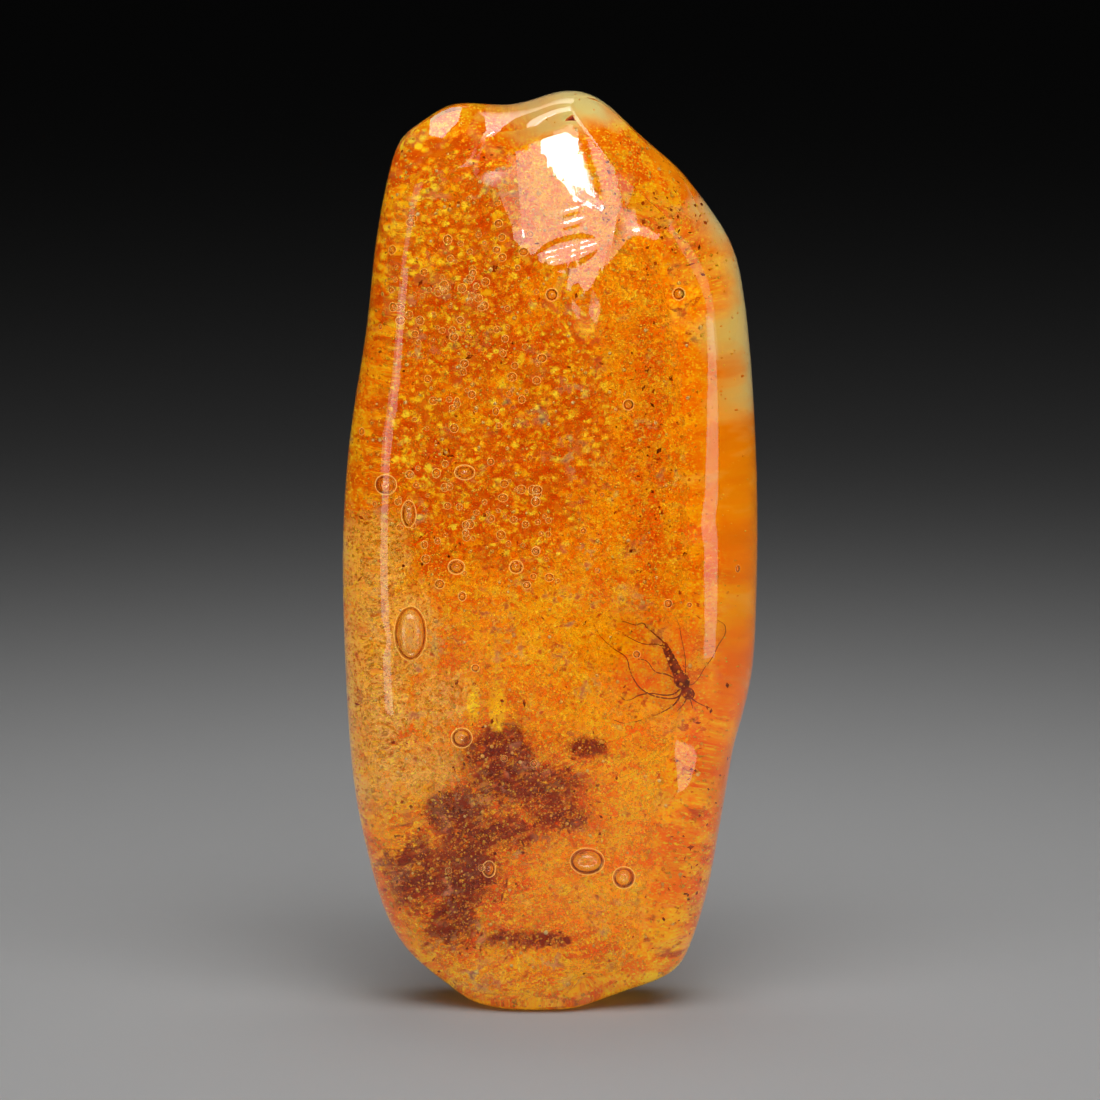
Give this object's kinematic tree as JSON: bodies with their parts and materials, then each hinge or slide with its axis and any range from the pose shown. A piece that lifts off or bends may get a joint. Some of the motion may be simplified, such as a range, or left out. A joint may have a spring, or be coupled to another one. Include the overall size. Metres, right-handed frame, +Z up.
{
  "type": "polished amber pebble",
  "caption": "Tall flattened pebble of clear polished amber, full of bubbles and plant specks, with a long-legged insect sealed inside; stands upright on a small flat spot.",
  "frame": {"origin": "on the ground, under the middle of the pebble's outline box", "axes": "+Z is up along the pebble's length, +X is to the right seen from the front, and the front face looks towards -Y, the pebble's thin way"},
  "size_m": [0.0248, 0.0142, 0.0549],
  "materials": {
    "amber": "polished clear fossil resin, warm orange",
    "insect": "dark red-brown chitin",
    "bubbles": "gas bubbles and foam in the resin",
    "debris": "dark plant specks and flow layers"
  },
  "bodies": {
    "root": {"amber_front": "amber", "amber_back": "amber", "insect": "insect"}
  },
  "joints": []
}
